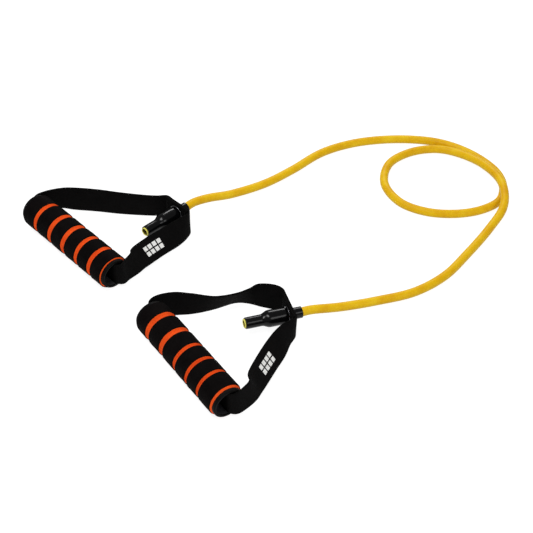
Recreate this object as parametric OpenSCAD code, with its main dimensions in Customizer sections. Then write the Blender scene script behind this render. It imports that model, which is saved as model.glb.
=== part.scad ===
// Resistance band: one elastic tube with a foam-gripped strap handle at each end.
// It lies slack on a floor, z = 0, with both handles flat and one full loop in the tube.
// Each handle is drawn in its own frame: x along the grip, y towards the tube, z across the strap.

/* [Tube] */
// Outside diameter of the elastic tube
tube_d = 9; // [6:0.5:12]
// Bore of the elastic tube
tube_bore = 5; // [2:0.5:6]

/* [Grip] */
// Outside diameter of the black foam
grip_d = 35; // [33:0.5:45]
// Length of the foam
foam_len = 128; // [110:1:160]
// Distance from one groove to the next
groove_pitch = 22; // [16:1:24]
// Width of a groove at the surface
groove_w = 5; // [3:0.5:7]
// Number of grooves cut through the black foam
groove_count = 5; // [3:1:5]
// Thickness of the black outer foam
skin_t = 1.9; // [1:0.1:2]
// Radius of the rounded shoulders of each black ring
shoulder_r = 1.6; // [0.5:0.1:1.8]

/* [Core tube and collars] */
// Radial wall of the rigid tube under the foam
core_wall = 1.3; // [1:0.1:2]
// Gap between the edge of the strap and the core tube's bore
core_gap = 0.4; // [0.3:0.1:1]
// Length of each end collar along the grip
collar_len = 3.5; // [2.5:0.5:6]
// Thickness of the collar's lip over the end of the core tube
collar_lip = 1.2; // [0.8:0.1:2]
// Outside diameter of the end collars
collar_d = 31.4; // [31:0.1:34]

/* [Strap] */
// Width of the webbing
strap_w = 25; // [18:0.5:26]
// Thickness of the webbing
strap_t = 1.8; // [1:0.1:2.5]
// Length of the doubled, sewn panel where the tube goes through
panel_len = 34; // [30:1:40]

/* [Eyelet] */
// Outside diameter of the eyelet's flange and of the washer
eyelet_d = 18.5; // [17:0.5:22]
// Thickness of the eyelet's flange
eyelet_t = 1.2; // [0.8:0.1:2]
// Thickness of the washer
washer_t = 1; // [0.8:0.1:1.6]
// Wall of the eyelet's barrel
barrel_wall = 0.7; // [0.5:0.1:1]
// Radial gap between the eyelet and the sleeve that turns in it
swivel_gap = 0.1; // [0.05:0.01:0.1]

/* [Connector sleeve] */
// Length of the sleeve
sleeve_len = 57; // [50:1:70]
// Wall of the sleeve where it is narrow
sleeve_wall = 1.2; // [0.8:0.1:2]
// Length of the narrow neck on the inner end
neck_len = 17; // [12:1:20]
// Length of the slope from the neck up to the bulge
shoulder_len = 5; // [3:0.5:8]
// Distance along the sleeve from its inner end to the middle of the strap
eyelet_at = 44.5; // [42:0.5:48]
// How far the open end of the tube stands out of the sleeve's inner end
tail_len = 1.5; // [0.5:0.5:5]
// Diameter of the plug inside the tube
plug_d = 9.6; // [8:0.2:11]
// Length of the plug
plug_len = 17; // [12:1:18]

/* [Front handle] */
// Middle of the grip, along X
front_x = 36; // [20:1:50]
// Middle of the grip, along Y
front_y = -83; // [-95:1:-75]
// Turn of the grip about Z
front_yaw = -55; // [-65:1:-45]
// Shift of the grooves along the grip
front_shift = 0; // [-6:1:6]

/* [Rear handle] */
// Middle of the grip, along X
rear_x = -86; // [-100:1:-75]
// Middle of the grip, along Y
rear_y = 76; // [65:1:90]
// Turn of the grip about Z
rear_yaw = -47; // [-55:1:-40]
// Shift of the grooves along the grip
rear_shift = 1; // [-6:1:6]

/* [Hidden] */
$fn = 64;

// Grip: radii from the strap outwards, then lengths from the middle outwards.
grip_r = grip_d / 2;
core_bore_r = norm([strap_w, strap_t]) / 2 + core_gap;
core_r = core_bore_r + core_wall;
foam_r = grip_r - skin_t;
collar_r = collar_d / 2;
collar_end = foam_len / 2 + collar_len;
core_end = collar_end - collar_lip;

// Grooves: how deep they bite into the orange foam, and half their width where they do.
groove_bite = 0.5;
groove_half = groove_w / 2 * groove_bite / (groove_bite + skin_t);
groove_slope = max(groove_w / 2 - shoulder_r - groove_half, 0.1);

// Connector: radii of the tube, sleeve and eyelet, and distances along the sleeve.
tube_r = tube_d / 2;
tube_wall = (tube_d - tube_bore) / 2;
neck_r = tube_r + sleeve_wall;
plug_r = plug_d / 2;
swell_r = plug_r + tube_wall;
bulge_slack = 0.4;
bulge_r = swell_r + sleeve_wall + bulge_slack;
shoulder_gap = 0.3;
stack_in = strap_t + washer_t;
stack_out = strap_t + eyelet_t;
bulge_end = eyelet_at - stack_in - shoulder_gap;
plug_start = neck_len + shoulder_len - 1;
plug_end = plug_start + plug_len;
eyelet_bore_r = neck_r + swivel_gap;
barrel_r = eyelet_bore_r + barrel_wall;
eyelet_r = eyelet_d / 2;
swell_slope = 3;

// Where the strap turns close outside the grip's ends.
turn_x = collar_end + 4.5;
turn_r = 4.5;
stitch_len = 2;
stitch_step = 2.8;
stitch_rows = 7;
stitch_at = panel_len / 2 - 3.5;
thread_t = 0.6;

// Each handle, in its own frame: the middle of the eyelet, the turn of the connector, and the
// corners of the strap from the near leg round to the far leg, with the most that each is rounded.
// Reach is how far out the strap touches the floor.
front_eye = [5, 111];
front_turn = -17;
front_corners = [
    [turn_x, 0], [turn_x - 4, 20], [43, 61], [27, 92],
    [-27, 115], [-39, 97], [-47, 64], [-turn_x + 2, 20], [-turn_x, 0]
];
front_radii = [turn_r, 40, 90, 30, 12, 60, 60, 30, turn_r];
front_reach = 118;

rear_eye = [34, 107];
rear_turn = 3;
rear_corners = [
    [turn_x, 0], [turn_x - 4, 22], [62, 56], [61, 88],
    [3, 90], [-20, 70.5], [-60, 40], [-turn_x + 1, 18], [-turn_x, 0]
];
rear_radii = [turn_r, 40, 60, 20, 40, 200, 30, 20, turn_r];
rear_reach = 110;

// Free run of the tube over the floor, from the rear sleeve to the front one.
lead = 12;
route = [
    [48, 151, 9.5], [72, 161, 6.5], [106, 179.5, 4.9], [136, 203, 4.6], [168, 232, 4.6],
    [201, 248.5, 4.5], [236, 256, 4.5], [272, 256.5, 4.5], [304, 249.5, 4.5],
    [333, 231.5, 4.5], [355, 205, 4.5], [362, 179, 4.5], [355, 152.5, 4.5],
    [333, 137, 4.5], [305, 131, 4.5], [275, 134.5, 4.5], [249, 150, 4.5],
    [235, 180, 4.5], [242, 213, 4.5], [266, 233, 4.6], [296, 238.5, 5.3],
    [322, 227, 7.5], [344.5, 202, 12], [358.5, 170, 14.2], [356, 135, 11.4],
    [337.5, 105, 6.4], [311, 69, 4.9], [285, 37.5, 4.6], [253, 15, 4.6],
    [215, 2.5, 4.9], [181, -7, 6.5]
];
tube_sides = 12;
steps = 2;

// ---------- directions and places ----------

function unit(v) = v / norm(v);
function sink(reach) = asin((grip_d - strap_w) / 2 / reach);
function turned(v, yaw, tip) =
    let (y = v.y * cos(tip) + v.z * sin(tip), z = v.z * cos(tip) - v.y * sin(tip))
    [v.x * cos(yaw) - y * sin(yaw), v.x * sin(yaw) + y * cos(yaw), z];

function eye_place(x, y, yaw, eye, reach) =
    [x, y, grip_r] + turned([eye.x, eye.y, 0], yaw, sink(reach));
function connector_axis(yaw, turn, reach) = turned([-sin(turn), cos(turn), 0], yaw, sink(reach));

front_axis = connector_axis(front_yaw, front_turn, front_reach);
front_mouth = eye_place(front_x, front_y, front_yaw, front_eye, front_reach)
    + front_axis * (sleeve_len - eyelet_at);
rear_axis = connector_axis(rear_yaw, rear_turn, rear_reach);
rear_mouth = eye_place(rear_x, rear_y, rear_yaw, rear_eye, rear_reach)
    + rear_axis * (sleeve_len - eyelet_at);

// Puts its children in a handle's frame.
module place_handle(x, y, yaw, reach) {
    translate([x, y, grip_r]) rotate([0, 0, yaw]) rotate([-sink(reach), 0, 0]) children();
}

// Puts its children on the connector: z along the sleeve, z = 0 at the sleeve's inner end.
module on_connector(eye, turn) {
    translate([eye.x, eye.y, 0]) rotate([-90, 0, turn]) translate([0, 0, -eyelet_at]) children();
}

module along_x() {
    rotate([0, 90, 0]) children();
}

// ---------- the strap's path ----------

// A corner at b, between a and c, rounded to radius most or to what its shorter side has room for.
function corner(a, b, c, most, n = 6) =
    let (
        u = unit(a - b),
        v = unit(c - b),
        half = acos(u * v) / 2,
        room = 0.49 * min(norm(a - b), norm(c - b)),
        r = min(most, room * tan(half)),
        mid = b + unit(u + v) * r / sin(half),
        from = b + u * r / tan(half) - mid,
        turn = (cross(u, v) > 0 ? -1 : 1) * (180 - 2 * half),
        start = atan2(from.y, from.x)
    )
    [for (i = [0:n]) mid + r * [cos(start + turn * i / n), sin(start + turn * i / n)]];

function rounded(points, radii) =
    let (n = len(points))
    [for (i = [0:n - 1])
        each corner(points[(i + n - 1) % n], points[i], points[(i + 1) % n], radii[i])];

// The closed path moved sideways by d, to its left.
function shifted(path, d) =
    let (n = len(path))
    [for (i = [0:n - 1])
        let (t = unit(path[(i + 1) % n] - path[(i + n - 1) % n]))
        path[i] + d * [-t.y, t.x]];

// The webbing's corners with the two ends of the flat panel put in before the far leg.
function strap_corners(corners, eye, turn) =
    let (side = [cos(turn), sin(turn)], out = [-sin(turn), cos(turn)] * strap_t / 2)
    concat(
        [for (i = [0:3]) corners[i]],
        [eye + out + side * panel_len / 2, eye + out - side * panel_len / 2],
        [for (i = [4:len(corners) - 1]) corners[i]]
    );

function strap_radii(radii) =
    concat([for (i = [0:3]) radii[i]], [4, 4], [for (i = [4:len(radii) - 1]) radii[i]]);

module strap(corners, radii, eye, turn) {
    path = rounded(strap_corners(corners, eye, turn), strap_radii(radii));
    difference() {
        union() {
            linear_extrude(strap_w, center = true) difference() {
                polygon(shifted(path, -strap_t / 2));
                polygon(shifted(path, strap_t / 2));
            }
            inner_layer(eye, turn);
        }
        on_connector(eye, turn) cylinder(r = barrel_r, h = 2 * sleeve_len);
    }
}

// The second end of the webbing, lapped under the first across the panel.
module inner_layer(eye, turn) {
    translate([eye.x, eye.y, 0]) rotate([0, 0, turn])
        translate([-panel_len / 2, -strap_t, -strap_w / 2])
            cube([panel_len, strap_t, strap_w]);
}

// Rows of stitches across both ends of the panel, on its two faces.
module strap_stitching(eye, turn) {
    translate([eye.x, eye.y, 0]) rotate([0, 0, turn])
        for (side = [-stitch_at, stitch_at], face = [-strap_t - thread_t, strap_t])
            for (i = [0:stitch_rows - 1])
                translate([
                    side - thread_t / 2,
                    face,
                    (i - (stitch_rows - 1) / 2) * stitch_step - stitch_len / 2
                ])
                    cube([thread_t, thread_t, stitch_len]);
}

// ---------- eyelet ----------

// Flange on the tube's side of the strap, with a barrel through the webbing and the washer.
module eyelet(eye, turn) {
    edge = eyelet_t * 0.45;
    on_connector(eye, turn) translate([0, 0, eyelet_at]) rotate_extrude() polygon([
        [eyelet_bore_r, -stack_in],
        [barrel_r, -stack_in],
        [barrel_r, strap_t],
        [eyelet_r, strap_t],
        [eyelet_r, stack_out - edge],
        [eyelet_r - edge, stack_out],
        [eyelet_bore_r + edge, stack_out],
        [eyelet_bore_r, stack_out - edge]
    ]);
}

module eyelet_washer(eye, turn) {
    edge = washer_t * 0.45;
    on_connector(eye, turn) translate([0, 0, eyelet_at]) rotate_extrude() polygon([
        [barrel_r, -stack_in],
        [eyelet_r - edge, -stack_in],
        [eyelet_r, -stack_in + edge],
        [eyelet_r, -strap_t],
        [barrel_r, -strap_t]
    ]);
}

// ---------- grip ----------

function groove_x(i, shift) = (i - (groove_count - 1) / 2) * groove_pitch + shift;

// Orange foam over the whole length, with the bottoms of the grooves cut a little into it.
module foam_core(shift) {
    along_x() difference() {
        translate([0, 0, -foam_len / 2]) cylinder(r = foam_r, h = foam_len);
        translate([0, 0, -foam_len / 2 - 1]) cylinder(r = core_r, h = foam_len + 2);
        for (i = [0:groove_count - 1])
            translate([0, 0, groove_x(i, shift)]) rotate_extrude() polygon([
                [foam_r - groove_bite, 0],
                [foam_r + 0.01, -groove_half],
                [foam_r + 0.01, groove_half]
            ]);
    }
}

// Point of a ring's rounded shoulder at the given angle, with its foot at x = edge.
function shoulder(edge, inward, angle) = [
    grip_r - shoulder_r * (1 - sin(angle)),
    edge + inward * shoulder_r * (1 - cos(angle))
];

// One black ring from x = a to x = b, its ends sloping down to the groove bottoms.
module foam_ring(a, b, slope_a, slope_b) {
    step = 90 / 5;
    along_x() rotate_extrude() polygon(concat(
        [[foam_r, a]],
        [for (angle = [0:step:90]) shoulder(a + slope_a, 1, angle)],
        [for (angle = [90:-step:0]) shoulder(b - slope_b, -1, angle)],
        [[foam_r, b]]
    ));
}

// The black outer foam, which the grooves part into separate rings.
module foam_rings(shift) {
    for (i = [0:groove_count]) {
        first = i == 0;
        last = i == groove_count;
        foam_ring(
            first ? -foam_len / 2 : groove_x(i - 1, shift) + groove_half,
            last ? foam_len / 2 : groove_x(i, shift) - groove_half,
            first ? 0 : groove_slope,
            last ? 0 : groove_slope
        );
    }
}

// Rigid tube that the foam sits on and the strap runs through.
module core_tube() {
    along_x() difference() {
        translate([0, 0, -core_end]) cylinder(r = core_r, h = 2 * core_end);
        translate([0, 0, -core_end - 1]) cylinder(r = core_bore_r, h = 2 * core_end + 2);
    }
}

// One collar at each end of the core tube, closing off the foam.
module end_collars() {
    edge = 1;
    for (side = [0, 1]) mirror([side, 0, 0]) along_x() rotate_extrude() polygon([
        [core_r, foam_len / 2],
        [collar_r, foam_len / 2],
        [collar_r, collar_end - edge],
        [collar_r - edge * 0.3, collar_end - edge * 0.3],
        [collar_r - edge, collar_end],
        [core_bore_r, collar_end],
        [core_bore_r, core_end],
        [core_r, core_end]
    ]);
}

// ---------- connector ----------

// Glossy sleeve over the tube's end: neck, slope, bulge over the plug, then the turning neck.
module sleeve() {
    rim = 0.4;
    rise = 1.2;
    rounding = 2.5;
    soft = 0.8;
    bulge_start = neck_len + shoulder_len;
    difference() {
        rotate_extrude() polygon([
            [0, 0],
            [neck_r - rim, 0],
            [neck_r, rim],
            [neck_r, neck_len],
            [bulge_r - rise, bulge_start - 1],
            [bulge_r, bulge_start + 1.5],
            [bulge_r, bulge_end - rounding],
            [bulge_r - soft, bulge_end - soft],
            [bulge_r - rounding, bulge_end],
            [neck_r, bulge_end],
            [neck_r, sleeve_len - rim],
            [neck_r - rim, sleeve_len],
            [0, sleeve_len]
        ]);
        tube_outside(0);
    }
}

// The outside of the tube's end, swollen over the plug. It starts at z = start.
module tube_outside(start) {
    rotate_extrude() polygon([
        [0, start],
        [tube_r, start],
        [tube_r, plug_start - swell_slope],
        [swell_r, plug_start],
        [swell_r, plug_end],
        [tube_r, plug_end + swell_slope],
        [tube_r, sleeve_len],
        [0, sleeve_len]
    ]);
}

// The end of the elastic tube inside the sleeve, open at the inner end.
module tube_end() {
    bore_r = tube_bore / 2;
    difference() {
        tube_outside(-tail_len);
        rotate_extrude() polygon([
            [0, -tail_len - 1],
            [bore_r, -tail_len - 1],
            [bore_r, plug_start - swell_slope],
            [plug_r, plug_start],
            [plug_r, plug_end],
            [bore_r, plug_end + swell_slope],
            [bore_r, sleeve_len + 1],
            [0, sleeve_len + 1]
        ]);
    }
}

// Round-ended plug that keeps the tube from pulling out of the handle.
module tube_plug() {
    bore_r = tube_bore / 2;
    rotate_extrude() polygon([
        [0, plug_start - swell_slope],
        [bore_r, plug_start - swell_slope],
        [plug_r, plug_start],
        [plug_r, plug_end],
        [bore_r, plug_end + swell_slope],
        [0, plug_end + swell_slope]
    ]);
}

// ---------- free run of the tube ----------

function catmull(p, t) =
    0.5 * (2 * p[1] + (p[2] - p[0]) * t
        + (2 * p[0] - 5 * p[1] + 4 * p[2] - p[3]) * t * t
        + (3 * p[1] - p[0] - 3 * p[2] + p[3]) * t * t * t);
function catmull_slope(p, t) =
    0.5 * ((p[2] - p[0])
        + 2 * (2 * p[0] - 5 * p[1] + 4 * p[2] - p[3]) * t
        + 3 * (3 * p[1] - p[0] - 3 * p[2] + p[3]) * t * t);

// Points of one ring about c, square to the direction t.
function ring(c, t, r) =
    let (side = unit(cross(t, [0, 0, 1])), up = cross(side, unit(t)))
    [for (i = [0:tube_sides - 1])
        c + r * (side * cos(360 * i / tube_sides) + up * sin(360 * i / tube_sides))];

// Hollow tube: the outer rings run there and the inner rings come back, joined at both ends.
module tube_run() {
    full = concat(
        [rear_mouth - rear_axis * lead, rear_mouth, rear_mouth + rear_axis * lead],
        route,
        [front_mouth + front_axis * lead, front_mouth, front_mouth - front_axis * lead]
    );
    spans = len(full) - 3;
    last = spans * steps;
    line = [for (k = [0:last])
        let (i = min(floor(k / steps), spans - 1), p = [for (j = [0:3]) full[i + j]])
        [catmull(p, k / steps - i), catmull_slope(p, k / steps - i)]];
    rings = concat(
        [for (k = [0:last]) ring(line[k][0], line[k][1], tube_r)],
        [for (k = [last:-1:0]) ring(line[k][0], line[k][1], tube_bore / 2)]
    );
    count = len(rings);
    polyhedron(
        points = [for (r = rings) each r],
        faces = [for (k = [0:count - 1], i = [0:tube_sides - 1])
            let (m = (k + 1) % count, j = (i + 1) % tube_sides)
            each [
                [k * tube_sides + i, k * tube_sides + j, m * tube_sides + j],
                [k * tube_sides + i, m * tube_sides + j, m * tube_sides + i]
            ]]
    );
}

// ---------- nodes ----------

module front() {
    place_handle(front_x, front_y, front_yaw, front_reach) children();
}

module rear() {
    place_handle(rear_x, rear_y, rear_yaw, rear_reach) children();
}

module front_connector() {
    front() on_connector(front_eye, front_turn) children();
}

module rear_connector() {
    rear() on_connector(rear_eye, rear_turn) children();
}

black_web = "#1b1b1d";
thread = "#2c2c30";
black_metal = "#26272b";
orange_foam = "#f0501e";
black_foam = "#161617";
core_plastic = "#3a3a3c";
collar_plastic = "#1f1f21";
black_vinyl = "#0c0c0e";
yellow_latex = "#efb90e";
plug_plastic = "#e6e0cf";

color(black_web) front() strap(front_corners, front_radii, front_eye, front_turn);  // front_strap
color(thread) front() strap_stitching(front_eye, front_turn);  // front_strap_stitching
color(black_metal) front() eyelet(front_eye, front_turn);  // front_eyelet
color(black_metal) front() eyelet_washer(front_eye, front_turn);  // front_eyelet_washer
color(orange_foam) front() foam_core(front_shift);  // front_foam_core
color(black_foam) front() foam_rings(front_shift);  // front_foam_rings
color(core_plastic) front() core_tube();  // front_core_tube
color(collar_plastic) front() end_collars();  // front_end_collars
color(black_vinyl) front_connector() sleeve();  // front_sleeve
color(yellow_latex) front_connector() tube_end();  // front_tube_end
color(plug_plastic) front_connector() tube_plug();  // front_tube_plug

color(black_web) rear() strap(rear_corners, rear_radii, rear_eye, rear_turn);  // rear_strap
color(thread) rear() strap_stitching(rear_eye, rear_turn);  // rear_strap_stitching
color(black_metal) rear() eyelet(rear_eye, rear_turn);  // rear_eyelet
color(black_metal) rear() eyelet_washer(rear_eye, rear_turn);  // rear_eyelet_washer
color(orange_foam) rear() foam_core(rear_shift);  // rear_foam_core
color(black_foam) rear() foam_rings(rear_shift);  // rear_foam_rings
color(core_plastic) rear() core_tube();  // rear_core_tube
color(collar_plastic) rear() end_collars();  // rear_end_collars
color(black_vinyl) rear_connector() sleeve();  // rear_sleeve
color(yellow_latex) rear_connector() tube_end();  // rear_tube_end
color(plug_plastic) rear_connector() tube_plug();  // rear_tube_plug

color(yellow_latex) tube_run();
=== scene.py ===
import math

import bmesh
import bpy
from mathutils import Matrix, Vector, noise


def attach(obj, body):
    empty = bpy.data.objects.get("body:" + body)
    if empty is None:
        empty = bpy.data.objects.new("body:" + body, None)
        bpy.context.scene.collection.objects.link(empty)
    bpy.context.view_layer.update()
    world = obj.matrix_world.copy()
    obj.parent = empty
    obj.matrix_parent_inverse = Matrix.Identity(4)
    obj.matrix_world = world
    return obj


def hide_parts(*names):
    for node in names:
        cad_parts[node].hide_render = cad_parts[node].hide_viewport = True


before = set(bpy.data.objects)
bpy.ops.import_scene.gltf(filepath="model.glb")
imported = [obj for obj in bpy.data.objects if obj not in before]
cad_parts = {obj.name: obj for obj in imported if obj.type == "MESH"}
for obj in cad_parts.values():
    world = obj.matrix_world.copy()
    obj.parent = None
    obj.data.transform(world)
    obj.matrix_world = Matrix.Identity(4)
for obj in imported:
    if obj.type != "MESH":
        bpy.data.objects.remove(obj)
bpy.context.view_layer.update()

MM = 0.001
scene = bpy.context.scene
scene.view_settings.view_transform = "Standard"

# ---------- sizes ----------

# All in mm, apart from LIP_CURVE and END_CURVE, which are powers, and STITCH_COUNT.
# Heights along a handle's connector are measured from the cut end of the tube.
STRAP_W, STRAP_T, PANEL = 25, 1.8, 34
GRIP_R, FOAM_END, CORE_R = 17.5, 64, 14.23
DROP = GRIP_R - STRAP_W / 2
SKIN, SKIN_PROUD, SKIN_ROOT = 0.75, 0.02, 0.12
GROOVE_DEPTH, LIP_CURVE = 2.5, 0.85
END_DEPTH, END_CURVE, FAR_SLOPE = 2.3, 1.3, 0.9
GRIND_DEPTH, GRIND_SIZE, GRIND_FROM = 0.25, 7, 15
COLLAR_R, COLLAR_BORE, COLLAR_OUT, COLLAR_LIP = 15.7, 12.95, 3.5, 1.2
EYELET_AT, EYELET_R, EYELET_BORE, BARREL_R = 44.5, 9.25, 5.8, 6.5
FLANGE_T, WASHER_T = 1.2, 1.0
SLEEVE_LEN, SLEEVE_BORE, NECK_R, BULGE_R = 57, 4.52, 5.7, 8.4
TUBE_R, TIP_R, TIP_BORE, TIP_DEPTH = 4.5, 4.48, 3.45, 8
STITCH_AT, STITCH_COUNT, STITCH_STEP = 13.5, 7, 2.8
MARK_PITCH, MARK_SQUARE = 6.0, 4.6
# How far along each strap, from the middle of its grip, the printed block lies.
MARK_AT = {"front": 134, "rear": 127}

# ---------- camera ----------

camera_data = bpy.data.cameras.new("camera")
camera_data.lens = 85.53
camera_data.sensor_width = 36
camera_data.clip_start = 0.01
camera = bpy.data.objects.new("camera", camera_data)
camera.location = (0.108, -0.86466, 0.88316)
camera.rotation_euler = (math.radians(46.19), 0, 0)
scene.collection.objects.link(camera)
scene.camera = camera


# ---------- shader maths ----------


class Wire:
    """One output socket of a shader node. Arithmetic on it adds Math nodes."""

    def __init__(self, finish, socket):
        self.finish = finish
        self.socket = socket

    def maths(self, operation, *values):
        inputs = dict(enumerate(values))
        return self.finish.add("ShaderNodeMath", inputs, operation=operation)

    def __add__(self, other):
        return self.maths("ADD", self, other)

    def __radd__(self, other):
        return self.maths("ADD", other, self)

    def __sub__(self, other):
        return self.maths("SUBTRACT", self, other)

    def __rsub__(self, other):
        return self.maths("SUBTRACT", other, self)

    def __mul__(self, other):
        return self.maths("MULTIPLY", self, other)

    def __rmul__(self, other):
        return self.maths("MULTIPLY", other, self)

    def __truediv__(self, other):
        return self.maths("DIVIDE", self, other)

    def __abs__(self):
        return self.maths("ABSOLUTE", self)

    def __lt__(self, other):
        return self.maths("LESS_THAN", self, other)

    def sine(self):
        return self.maths("SINE", self)

    def fraction(self):
        return self.maths("FRACT", self)


class Finish:
    """A material whose Principled shader is fed by expressions."""

    def __init__(self, name, **constants):
        self.material = bpy.data.materials.new(name)
        self.material.use_nodes = True
        self.tree = self.material.node_tree
        self.tree.nodes.clear()
        output = self.tree.nodes.new("ShaderNodeOutputMaterial")
        self.shader = self.tree.nodes.new("ShaderNodeBsdfPrincipled")
        self.tree.links.new(self.shader.outputs[0], output.inputs[0])
        for key, value in constants.items():
            self.shader.inputs[key.replace("_", " ")].default_value = value

    def add(self, kind, inputs=None, output=0, stops=None, **settings):
        """Any node: its settings first, then the values or links of its sockets."""
        node = self.tree.nodes.new(kind)
        for key, value in settings.items():
            setattr(node, key, value)
        for index, (place, colour) in enumerate(stops or []):
            elements = node.color_ramp.elements
            stop = elements[index] if index < len(elements) else elements.new(place)
            stop.position = place
            stop.color = (*colour, 1)
        for key, value in (inputs or {}).items():
            if isinstance(value, Wire):
                self.tree.links.new(value.socket, node.inputs[key])
            else:
                node.inputs[key].default_value = value
        return Wire(self, node.outputs[output])

    def feed(self, name, wire):
        self.tree.links.new(wire.socket, self.shader.inputs[name])

    def place(self, source="Object"):
        return self.add("ShaderNodeTexCoord", output=source)

    def speckle(self, where, size_mm, detail=3.0, roughness=0.5):
        """Noise whose grains are about size_mm across."""
        inputs = {"Vector": where, "Scale": 1000 / size_mm, "Detail": detail, "Roughness": roughness}
        return self.add("ShaderNodeTexNoise", inputs)

    def ramp(self, factor, *stops):
        return self.add("ShaderNodeValToRGB", {0: factor}, stops=stops)

    def mix(self, factor, one, other):
        inputs = {"Factor": factor, 6: one, 7: other}
        return self.add("ShaderNodeMix", inputs, output=2, data_type="RGBA")

    def bump(self, height, depth_mm, strength=1.0):
        inputs = {"Height": height, "Distance": depth_mm * MM, "Strength": strength}
        self.feed("Normal", self.add("ShaderNodeBump", inputs))


TURN = 2 * math.pi


def webbing(name, mark_at=None):
    """Woven nylon, with a small plain block of printed squares where mark_at is given."""
    web = Finish(name, Specular_IOR_Level=0.03)
    along = web.add("ShaderNodeSeparateXYZ", {0: web.place("UV")})
    across = Wire(web, along.socket.node.outputs[1])
    rib, warp = 1.25 * MM, 1.05 * MM
    dots = (along * (TURN / rib)).sine() * (across * (TURN / warp)).sine()
    cross = (along * (2 * TURN / rib)).sine()
    weave = dots * 0.38 + cross * 0.12 + 0.5
    fuzz = web.speckle(web.place(), 0.5, 2.0)
    broad = web.speckle(web.place(), 9.0, 2.0)
    tone = weave * 0.55 + fuzz * 0.25 + broad * 0.2
    dark = web.ramp(tone, (0.25, (0.0003, 0.0003, 0.0003)), (0.8, (0.0065, 0.006, 0.006)))
    colour = dark
    if mark_at is not None:
        pitch, square = MARK_PITCH * MM, MARK_SQUARE * MM
        a = along - mark_at * MM
        b = across - STRAP_W / 2 * MM
        cell_a = abs((a / pitch).fraction() - 0.5) < square / pitch / 2
        cell_b = abs((b / pitch).fraction() - 0.5) < square / pitch / 2
        inside = (abs(a) < 2 * pitch) * (abs(b) < pitch)
        worn = 1 - (fuzz * 1.6 + weave * 0.5 < 0.72)
        print_mask = cell_a * cell_b * inside * worn
        colour = web.mix(print_mask, dark, (0.78, 0.78, 0.76, 1))
    web.feed("Base Color", colour)
    web.feed("Roughness", 0.92 - weave * 0.25)
    web.bump(weave * 0.8 + fuzz * 0.2, 0.22)
    return web.material


def foam(name, low, high, pit_mm, depth_mm, specular):
    """Ground closed-cell foam: fine grain, small pits and a cloudy tone."""
    soft = Finish(name, Specular_IOR_Level=specular)
    here = soft.place()
    grain = soft.speckle(here, pit_mm, 4.0, 0.7)
    cells = soft.add("ShaderNodeTexVoronoi", {"Vector": here, "Scale": 1000 / (pit_mm * 1.4)})
    cloud = soft.speckle(here, 12.0, 2.0)
    tone = grain * 0.5 + cloud * 0.3 + cells * 0.2
    soft.feed("Base Color", soft.ramp(tone, (0.3, low), (0.75, high)))
    soft.feed("Roughness", 0.75 + grain * 0.25)
    soft.bump(grain * 0.7 + cells * 0.3, depth_mm)
    return soft.material


def moulded(name, low, high, rough, bump_mm, grain_mm=1.2, **constants):
    """Plastic, rubber, thread or metal with faint grain, handling marks and uneven gloss."""
    hard = Finish(name, **constants)
    here = hard.place()
    grain = hard.speckle(here, grain_mm, 3.0)
    smear = hard.speckle(here, 14.0, 2.0)
    hard.feed("Base Color", hard.ramp(grain * 0.4 + smear * 0.6, (0.3, low), (0.7, high)))
    hard.feed("Roughness", rough * 0.75 + smear * (rough * 0.5))
    hard.bump(grain, bump_mm)
    return hard.material


def latex_finish():
    """Dipped latex: warm yellow, cloudy and satin, with painted shade darkening its flanks and
    underside.
    """
    rubber = Finish("latex", Specular_IOR_Level=0.12)
    here = rubber.place()
    cloud = rubber.speckle(here, 16.0, 3.0)
    fine = rubber.speckle(here, 2.2, 3.0)
    tone = cloud * 0.75 + fine * 0.25
    stops = [
        (0.28, (0.62, 0.31, 0.002)),
        (0.5, (0.70, 0.41, 0.003)),
        (0.75, (0.76, 0.52, 0.012)),
    ]
    skin = rubber.ramp(tone, *stops)
    # Painted shade: the colour darkens toward olive as the surface turns from facing up to sideways
    # and down.
    facing = rubber.add("ShaderNodeNewGeometry", output="Normal")
    level = rubber.add("ShaderNodeSeparateXYZ", {0: facing}, output=2)
    flank_painted_shade = rubber.add("ShaderNodeMapRange", {0: level, 1: 0.5, 2: -0.5, 3: 0.0, 4: 0.5})
    rubber.feed("Base Color", rubber.mix(flank_painted_shade, skin, (0.4, 0.28, 0.001, 1)))
    rubber.feed("Roughness", 0.34 + fine * 0.2)
    rubber.bump(fine * 0.6 + cloud * 0.4, 0.12)
    return rubber.material


plain_web = webbing("webbing_plain")
marked_web = {name: webbing("webbing_" + name, mark_at) for name, mark_at in MARK_AT.items()}
orange_foam = foam("orange_foam", (0.55, 0.035, 0.004), (0.97, 0.125, 0.012), 0.5, 0.12, 0.1)
black_foam = foam("black_foam", (0.0004, 0.0003, 0.0003), (0.0065, 0.005, 0.005), 0.7, 0.3, 0.03)
thread = moulded(
    "thread", (0.005, 0.005, 0.005), (0.016, 0.015, 0.015), 0.7, 0.05, 0.3,
    Specular_IOR_Level=0.15,
)
black_nickel = moulded(
    "black_nickel", (0.035, 0.035, 0.04), (0.07, 0.07, 0.075), 0.22, 0.01,
    Metallic=1.0, Coat_Weight=0.5, Coat_Roughness=0.12,
)
vinyl = moulded(
    "vinyl", (0.001, 0.001, 0.0012), (0.0025, 0.0025, 0.003), 0.2, 0.03, 3.0,
    Coat_Weight=0.15, Coat_Roughness=0.05, Specular_IOR_Level=0.12,
)
collar_plastic = moulded(
    "collar_plastic", (0.001, 0.001, 0.001), (0.004, 0.0035, 0.0035), 0.6, 0.05,
    Specular_IOR_Level=0.06,
)
core_plastic = moulded("core_plastic", (0.02, 0.02, 0.022), (0.05, 0.05, 0.055), 0.45, 0.04)
plug_plastic = moulded("plug_plastic", (0.6, 0.57, 0.48), (0.8, 0.77, 0.68), 0.4, 0.03)
latex = latex_finish()
# Painted shade: a dark latex for the inside of the tube's cut end, where shade falls down the bore.
bore_painted_shade = moulded(
    "bore_painted_shade", (0.05, 0.035, 0.004), (0.1, 0.08, 0.008), 0.7, 0.02, 1.0,
    Specular_IOR_Level=0.1,
)
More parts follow.
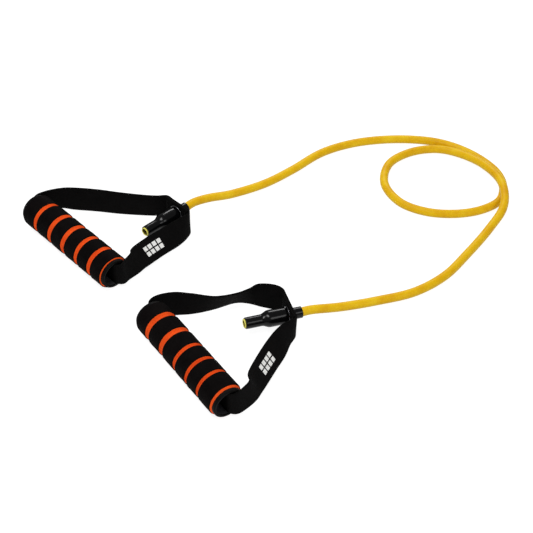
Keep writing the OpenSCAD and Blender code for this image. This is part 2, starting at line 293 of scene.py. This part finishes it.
cut_latex = moulded(
    "cut_latex", (0.66, 0.58, 0.07), (0.78, 0.74, 0.16), 0.55, 0.02, 1.0,
    Specular_IOR_Level=0.25,
)


# ---------- curves through points ----------


def between(p, q, start, end, t):
    """The point at t on the line that is at p at start and at q at end."""
    share = (t - start) / (end - start)
    return (1 - share) * p + share * q


def spline(points, per_span, closed=False, evenness=0.0):
    """Points on a smooth line through the given ones. Evenness 0.5 keeps it tight where they crowd.
    A closed line starts at its first point. An open one leaves out its first and last, which only
    set its direction."""
    points = [Vector(p) for p in points]
    count = len(points)
    line = []
    for span in range(count if closed else count - 3):
        p = [points[(span + k - closed) % count] for k in range(4)]
        knots = [0.0]
        for a, b in zip(p, p[1:]):
            knots.append(knots[-1] + (b - a).length ** evenness)
        for step in range(per_span):
            t = knots[1] + (knots[2] - knots[1]) * step / per_span
            one = [between(p[k], p[k + 1], knots[k], knots[k + 1], t) for k in range(3)]
            two = [between(one[k], one[k + 1], knots[k], knots[k + 2], t) for k in range(2)]
            line.append(between(*two, knots[1], knots[2], t))
    if not closed:
        line.append(points[-2])
    return line


# ---------- handles ----------

FROM_GRIP = [(0, 0, 0), (30, 0, 0), (60, 0, 0), (67, 0.3, 0)]
INTO_GRIP = [(-67, 0.3, 0), (-60, 0, 0), (-30, 0, 0)]


class Handle:
    """Where one handle lies, and its strap's two legs as (x, y, lean in degrees inwards) in mm.

    The eye is the middle of the panel, and turn is the panel's angle. A groove is (middle, half
    width). End slope is how far from the near end of the grip the foam starts to slope off."""

    def __init__(self, name, place, yaw, reach, eye, turn, end_slope, grooves, near_leg, far_leg):
        self.name = name
        self.reach = reach
        self.eye = eye
        self.turn = turn
        self.end_slope = end_slope
        self.grooves = grooves
        self.sink = math.asin(DROP / reach)
        on_floor = Matrix.Translation(Vector((*place, 0)) * MM)
        self.flat = on_floor @ Matrix.Rotation(math.radians(yaw), 4, "Z")
        lift = Matrix.Translation((0, 0, GRIP_R * MM))
        self.frame = self.flat @ lift @ Matrix.Rotation(-self.sink, 4, "X")
        self.grip = self.frame @ Matrix.Rotation(math.radians(90), 4, "Y")
        centre = Matrix.Translation(Vector((*eye, 0)) * MM)
        self.panel = self.frame @ centre @ Matrix.Rotation(math.radians(turn), 4, "Z")
        outwards = self.panel @ Matrix.Rotation(math.radians(-90), 4, "X")
        self.connector = outwards @ Matrix.Translation((0, 0, -EYELET_AT * MM))
        self.side = Vector((math.cos(math.radians(turn)), math.sin(math.radians(turn))))
        self.stations = FROM_GRIP + near_leg + self.across_panel() + far_leg + INTO_GRIP

    def across_panel(self):
        """Stations along the panel's outer layer, which lies against the eyelet's flange."""
        out = Vector((-self.side.y, self.side.x)) * STRAP_T / 2
        middles = [Vector(self.eye) + out + self.side * along for along in (16, 8, 0, -8, -16)]
        return [(*middle, -math.degrees(self.sink)) for middle in middles]

    def mouth(self, beyond):
        """A point on the sleeve's axis, beyond the end that the tube leaves by."""
        return self.connector @ Vector((0, 0, (SLEEVE_LEN + beyond) * MM))


front = Handle(
    "front", (36, -83), -55, 118, (5, 111), -17, 3.8,
    [(-45, 4.1), (-21, 4.2), (2, 2.8), (22, 2.5), (41, 2.4)],
    [
        (71, 6, 6), (69.5, 16, 10), (66, 26.5, 14), (56.5, 37, 34), (42, 60, 40), (33, 76, 40),
        (25.5, 91.5, 22),
    ],
    [
        (-18, 116, -16), (-25.5, 111.5, -28), (-32, 103.5, -18), (-37, 93, 11), (-42, 81.5, 24),
        (-47, 61, 17), (-59, 39.5, -8), (-67.5, 27, -18), (-72, 14, -16), (-71.5, 5, -8),
    ],
)
rear = Handle(
    "rear", (-86, 76), -47, 110, (34, 107), 3, 0.8,
    [(-43.5, 3.2), (-20, 3.9), (2, 4.1), (24, 3.5), (45, 3.4)],
    [
        (71.5, 5, 3), (69.5, 12, 8), (66.5, 24.5, 18), (60, 38, 44), (57, 60, 48), (57.5, 82, 36),
        (57, 96, 18), (55, 104.5, 4),
    ],
    [
        (12.5, 99, -6), (4, 90, -8), (-17.5, 71, -14), (-36, 56.5, -18), (-53.5, 40.5, -18),
        (-64, 29, -5), (-70, 16.5, 0), (-71, 6, 0),
    ],
)


# ---------- the tube ----------


def finished(piece, body, slot, *nodes):
    """Puts a piece on its body and hides the CAD nodes that it stands for; slot is not used."""
    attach(piece, body)
    if nodes:
        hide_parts(*nodes)


# The step between the points on the sleeves' axes that set the tube's direction at its ends.
LEAD = 12
ROUTE = [
    (48, 151, 9.5), (72, 161, 6.5), (106, 179.5, 4.9), (136, 203, 4.6), (168, 232, 4.6),
    (201, 248.5, 4.5), (236, 256, 4.5), (272, 256.5, 4.5), (304, 249.5, 4.5),
    (333, 231.5, 4.5), (355, 205, 4.5), (362, 179, 4.5), (355, 152.5, 4.5),
    (333, 137, 4.5), (305, 131, 4.5), (275, 134.5, 4.5), (249, 150, 4.5),
    (235, 180, 4.5), (242, 213, 4.5), (266, 233, 4.6), (296, 238.5, 5.3),
    (322, 227, 7.5), (344.5, 202, 12), (358.5, 170, 14.2), (356, 135, 11.4),
    (337.5, 105, 6.4), (311, 69, 4.9), (285, 37.5, 4.6), (253, 15, 4.6),
    (215, 2.5, 4.9), (181, -7, 6.5),
]


def make_tube():
    leads = [rear.mouth(k * LEAD) for k in (-1, 0, 1)]
    tails = [front.mouth(k * LEAD) for k in (1, 0, -1)]
    line = spline(leads + [Vector(p) * MM for p in ROUTE] + tails, 12)
    data = bpy.data.curves.new("tube", "CURVE")
    data.dimensions = "3D"
    data.bevel_depth = TUBE_R * MM
    data.bevel_resolution = 8
    path = data.splines.new("POLY")
    path.points.add(len(line) - 1)
    for point, place in zip(path.points, line):
        point.co = (*place, 1)
    path.use_smooth = True
    tube = bpy.data.objects.new("tube", data)
    scene.collection.objects.link(tube)
    tube.data.materials.append(latex)
    finished(tube, "band", "yellow_latex", "tube_run")
    length = sum((b - a).length for a, b in zip(line, line[1:]))


# ---------- mesh helpers ----------


def to_piece(name, mesh_build, materials, sharp=45):
    """An object at the origin from a bmesh, smooth except at edges sharper than the given angle."""
    for face in mesh_build.faces:
        face.smooth = True
    for edge in mesh_build.edges:
        if len(edge.link_faces) == 2:
            edge.smooth = edge.calc_face_angle(0) < math.radians(sharp)
    mesh = bpy.data.meshes.new(name)
    mesh_build.to_mesh(mesh)
    mesh_build.free()
    for material in materials:
        mesh.materials.append(material)
    piece = bpy.data.objects.new(name, mesh)
    scene.collection.objects.link(piece)
    return piece


def turned(build, profile, steps=96):
    """Spins a closed profile of (radius, height) in mm once about Z."""
    verts = [build.verts.new((r * MM, 0, h * MM)) for r, h in profile]
    edges = [build.edges.new(pair) for pair in zip(verts, verts[1:] + verts[:1])]
    bmesh.ops.spin(
        build, geom=verts + edges, cent=(0, 0, 0), axis=(0, 0, 1),
        angle=TURN, steps=steps, use_merge=True,
    )
    bmesh.ops.remove_doubles(build, verts=build.verts, dist=1e-6)
    bmesh.ops.recalc_face_normals(build, faces=build.faces)


def add_turned(build, profile, upside_down=False):
    """Adds one turned ring to a mesh that holds several."""
    ring = bmesh.new()
    turned(ring, profile)
    if upside_down:
        over = Matrix.Rotation(math.pi, 3, "X")
        bmesh.ops.rotate(ring, verts=ring.verts, cent=(0, 0, 0), matrix=over)
    spare = bpy.data.meshes.new("ring")
    ring.to_mesh(spare)
    ring.free()
    build.from_mesh(spare)
    bpy.data.meshes.remove(spare)


def arc(centre, radius, start, end, count=6):
    """Points of an arc in a profile, angles in degrees from outwards to upwards."""
    points = []
    for i in range(count + 1):
        angle = math.radians(start + (end - start) * i / count)
        points.append((centre[0] + radius * math.cos(angle), centre[1] + radius * math.sin(angle)))
    return points


def revolved(name, profile, place, material, steps=96):
    build = bmesh.new()
    turned(build, profile, steps)
    build.transform(place)
    return to_piece(name, build, [material])


# ---------- grip ----------


def surface_radius(x, handle):
    """Radius of the ground foam at x: round-lipped grooves, and ends that slope off."""
    radius = GRIP_R
    for middle, half in handle.grooves:
        t = abs(x - middle) / half
        if t < 1:
            radius -= GROOVE_DEPTH * (0.5 + 0.5 * math.cos(math.pi * t)) ** LIP_CURVE
    slope = handle.end_slope if x > 0 else FAR_SLOPE
    from_end = FOAM_END - abs(x)
    if from_end < slope:
        radius -= END_DEPTH * (1 - from_end / slope) ** END_CURVE
    return radius


def uneven(build):
    """Moves the outside in and out a little, as ground foam is."""
    shift = Vector((1, 2.7, -1))
    for vert in build.verts:
        radius = math.hypot(vert.co.x, vert.co.y)
        if radius > GRIND_FROM * MM:
            push = noise.noise(vert.co / (GRIND_SIZE * MM) + shift) * GRIND_DEPTH * MM
            vert.co.x *= 1 + push / radius
            vert.co.y *= 1 + push / radius


def grip_piece(handle, build, kind, node, material, slot, sharp):
    """One piece of a grip, put in its place from a mesh made about Z."""
    build.transform(handle.grip)
    name = handle.name
    piece = to_piece(name + "_" + kind, build, [material], sharp)
    finished(piece, name + "_grip", slot, name + "_" + node)
    return piece


def collar_profile():
    """A collar with a rounded lip over the end of the core tube."""
    outer, inner, tuck = 1.0, 0.6, 0.2
    top = FOAM_END + COLLAR_OUT
    return (
        [(CORE_R - tuck, FOAM_END - tuck), (COLLAR_R, FOAM_END - tuck)]
        + arc((COLLAR_R - outer, top - outer), outer, 0, 90)
        + arc((COLLAR_BORE + inner, top - inner), inner, 90, 180)
        + [(COLLAR_BORE, top - COLLAR_LIP), (CORE_R - tuck, top - COLLAR_LIP)]
    )


def make_grip(handle):
    step = 0.4
    xs = [-FOAM_END + step * i for i in range(int(2 * FOAM_END / step) + 1)]
    seam = GRIP_R - SKIN

    core = bmesh.new()
    outer = [(min(surface_radius(x, handle), seam), x) for x in xs]
    turned(core, [(CORE_R, -FOAM_END)] + outer + [(CORE_R, FOAM_END)])
    uneven(core)
    piece = grip_piece(handle, core, "foam_inner", "foam_core", orange_foam, "orange_foam", 60)

    rings = bmesh.new()
    run = []
    for x in xs + [None]:
        if x is not None and surface_radius(x, handle) > seam + 0.01:
            run.append((surface_radius(x, handle) + SKIN_PROUD, x))
        elif run:
            start, end = run[0][1], run[-1][1]
            add_turned(rings, run + [(seam - SKIN_ROOT, end), (seam - SKIN_ROOT, start)])
            run = []
    uneven(rings)
    piece = grip_piece(handle, rings, "foam_outer", "foam_rings", black_foam, "black_foam", 60)

    collars = bmesh.new()
    for upside_down in (False, True):
        add_turned(collars, collar_profile(), upside_down)
    grip_piece(handle, collars, "collars", "end_collars", collar_plastic, "collar_plastic", 40)


# ---------- strap ----------


def strap_line(handle):
    """Samples of the strap: middle, direction, width direction and distance along it, in metres."""
    stations = [Vector(s) for s in handle.stations]
    line = spline(stations, 12, closed=True, evenness=0.5)
    places, leans = [], []
    for x, y, lean in line:
        tip = math.radians(lean)
        low = DROP * (1 - min(max(y, 0) / handle.reach, 1))
        height = low + STRAP_W / 2 * math.cos(tip) + STRAP_T / 2 * abs(math.sin(tip))
        places.append(Vector((x, y, height)) * MM)
        leans.append(tip)
    samples, along = [], 0.0
    count = len(places)
    for i in range(count):
        ahead = places[(i + 1) % count] - places[i - 1]
        ahead.z = 0
        ahead.normalize()
        inward = Vector((-ahead.y, ahead.x, 0))
        up = Vector((0, 0, math.cos(leans[i]))) + inward * math.sin(leans[i])
        samples.append((places[i], ahead, up, along))
        along += (places[(i + 1) % count] - places[i]).length
    return samples, along


def band(name, samples, offset_mm, closed, total, handle):
    """A woven band whose middle surface follows the samples, pushed inwards by the offset."""
    rows = 10
    count = len(samples)
    build = bmesh.new()
    columns = count if closed else count - 1
    bmesh.ops.create_grid(build, x_segments=columns, y_segments=rows, size=0.5)
    uv = build.loops.layers.uv.new("UVMap")
    for face in build.faces:
        for loop in face.loops:
            index = min(int(round((loop.vert.co.x + 0.5) * columns)), columns)
            along = total if index == count else samples[index][3]
            loop[uv].uv = (along, (loop.vert.co.y + 0.5) * STRAP_W * MM)
    for vert in build.verts:
        index = int(round((vert.co.x + 0.5) * columns)) % count
        across = vert.co.y
        place, ahead, up, along = samples[index]
        normal = ahead.cross(up)
        vert.co = place + up * (across * STRAP_W * MM) - normal * (offset_mm * MM)
    if closed:
        bmesh.ops.remove_doubles(build, verts=build.verts, dist=1e-6)
    build.transform(handle.flat)
    piece = to_piece(name, build, [marked_web[handle.name], plain_web], 60)
    thick = piece.modifiers.new("thickness", "SOLIDIFY")
    thick.thickness = STRAP_T * MM
    thick.offset = 0
    thick.use_even_offset = True
    thick.material_offset = 1
    thick.material_offset_rim = 1
    edge = piece.modifiers.new("selvedge", "BEVEL")
    edge.width = 0.45 * MM
    edge.segments = 2
    edge.limit_method = "ANGLE"
    edge.angle_limit = math.radians(60)
    return piece


def make_strap(handle):
    samples, total = strap_line(handle)
    piece = band(handle.name + "_strap", samples, 0, True, total, handle)
    finished(piece, handle.name + "_handle", "webbing", handle.name + "_strap")
    eye, side = Vector((*handle.eye, 0)) * MM, Vector((*handle.side, 0))
    past_legs = 60 * MM
    lapped = [
        sample for sample in samples
        if sample[0].y > past_legs and abs((sample[0] - eye).dot(side)) < PANEL / 2 * MM
    ]
    piece = band(handle.name + "_strap_lap", lapped, STRAP_T + 0.03, False, 0, handle)
    finished(piece, handle.name + "_handle", "webbing")


# ---------- hardware ----------


def make_eyelet(handle):
    name = handle.name
    lip, bore_lip = 0.55, 0.8
    top = EYELET_AT + STRAP_T + FLANGE_T
    bottom = EYELET_AT - STRAP_T - WASHER_T
    flange = (
        [(EYELET_BORE, bottom), (BARREL_R, bottom)]
        + [(BARREL_R, EYELET_AT + STRAP_T), (EYELET_R, EYELET_AT + STRAP_T)]
        + arc((EYELET_R - lip, top - lip), lip, -20, 100)
        + [(7.4, top)]
        + arc((EYELET_BORE + bore_lip, top - bore_lip), bore_lip, 80, 180)
    )
    eyelet = revolved(name + "_eyelet_rim", flange, handle.connector, black_nickel)
    finished(eyelet, name + "_handle", "eyelet_metal", name + "_eyelet")

    dome, gap = 0.9, 0.1
    seat = EYELET_AT - STRAP_T - gap
    inner = arc((BARREL_R + gap + dome, seat), dome, -180, -90)
    outer = arc((EYELET_R - dome, seat), dome, -90, 0)
    washer = revolved(name + "_eyelet_back", inner + outer, handle.connector, black_nickel)
    finished(washer, name + "_handle", "eyelet_metal", name + "_eyelet_washer")


def make_sleeve(handle):
    near_end = [(SLEEVE_BORE, 0.3)] + arc((5.1, 0.55), 0.5, -90, 0, 4)
    neck = [(NECK_R, 3), (5.72, 9), (NECK_R, 15.5)]
    shoulder = [(5.85, 17), (6.4, 18.6), (7.2, 20.2), (7.9, 21.7), (8.3, 23.3)]
    bulge = [(BULGE_R, 25), (BULGE_R, 31), (8.35, 36)] + arc((6.35, 39.4), 2.0, 5, 90, 8)
    through_eyelet = [(5.75, 41.42), (NECK_R, 42.5), (NECK_R, 50), (NECK_R, 56.2)]
    far_end = arc((5.2, 56.45), 0.5, 0, 90, 4) + [(SLEEVE_BORE, 56.95)]
    boot = near_end + neck + shoulder + bulge + through_eyelet + far_end
    sleeve = revolved(handle.name + "_boot", boot, handle.connector, vinyl, 72)
    finished(sleeve, "band", "black_vinyl", handle.name + "_sleeve")


def make_tip(handle):
    """The cut end of the tube, which shows at the sleeve's near end, with painted shade darkening
    its bore.
    """
    rim = (
        [(TIP_BORE, TIP_DEPTH), (TIP_R, TIP_DEPTH), (TIP_R, -0.7)]
        + arc((TIP_R - 0.28, -0.8), 0.28, 0, -90, 4)
        + [(3.75, -1.08), (TIP_BORE, -0.6)]
    )
    end = revolved(handle.name + "_tube_tip", rim, handle.connector, cut_latex, 72)
    end.data.materials.append(bore_painted_shade)
    # Faces inside the bore take the painted-shade latex.
    from_tip = handle.connector.inverted()
    for face in end.data.polygons:
        spot = from_tip @ face.center
        if math.hypot(spot.x, spot.y) < 3.6 * MM and spot.z > -0.6 * MM:
            face.material_index = 1
    finished(end, "band", "yellow_latex", handle.name + "_tube_end")


def make_stitches(handle):
    """Rows of stitches across the panel's two ends, on both of its faces."""
    build = bmesh.new()
    scale = Matrix.Diagonal((0.35 * MM, 0.3 * MM, 1.1 * MM, 1))
    for side in (-STITCH_AT, STITCH_AT):
        for face in (-STRAP_T - 0.1, STRAP_T + 0.1):
            for row in range(STITCH_COUNT):
                height = (row - (STITCH_COUNT - 1) / 2) * STITCH_STEP
                spot = Matrix.Translation(Vector((side, face, height)) * MM)
                knot = bmesh.ops.create_uvsphere(build, u_segments=8, v_segments=6, radius=1)
                bmesh.ops.transform(build, verts=knot["verts"], matrix=spot @ scale)
    build.transform(handle.panel)
    piece = to_piece(handle.name + "_stitches", build, [thread])
    finished(piece, handle.name + "_handle", "thread", handle.name + "_strap_stitching")


make_tube()
for handle in (front, rear):
    make_grip(handle)
    make_strap(handle)
    make_eyelet(handle)
    make_sleeve(handle)
    make_tip(handle)
    make_stitches(handle)
    for node, material in (("core_tube", core_plastic), ("tube_plug", plug_plastic)):
        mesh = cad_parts[handle.name + "_" + node].data
        mesh.materials.clear()
        mesh.materials.append(material)

# ---------- floor and light ----------

floor_build = bmesh.new()
bmesh.ops.create_grid(floor_build, x_segments=1, y_segments=1, size=6)
floor_finish = Finish(
    "floor", Base_Color=(0.25, 0.25, 0.25, 1), Roughness=1.0, Specular_IOR_Level=0.0,
    Emission_Color=(1, 1, 1, 1), Emission_Strength=0.9,
)
floor = to_piece("floor", floor_build, [floor_finish.material])

world = bpy.data.worlds.new("world")
world.use_nodes = True
background = world.node_tree.nodes["Background"]
background.inputs["Color"].default_value = (1, 1, 1, 1)
background.inputs["Strength"].default_value = 0.32
scene.world = world


def softbox(name, place, aim, size, power):
    data = bpy.data.lights.new(name, "AREA")
    data.shape = "RECTANGLE"
    data.size, data.size_y = size
    data.energy = power
    lamp = bpy.data.objects.new(name, data)
    lamp.location = place
    lamp.rotation_mode = "QUATERNION"
    lamp.rotation_quaternion = (Vector(aim) - Vector(place)).to_track_quat("-Z", "Y")
    scene.collection.objects.link(lamp)


MIDDLE = (0.1, 0.05, 0)
softbox("key", (-0.35, -0.25, 1.5), MIDDLE, (0.9, 0.4), 15)
softbox("fill", (0.9, -0.9, 1.0), MIDDLE, (0.8, 0.5), 5)
softbox("back", (0.2, 1.3, 0.9), MIDDLE, (0.7, 0.25), 8)
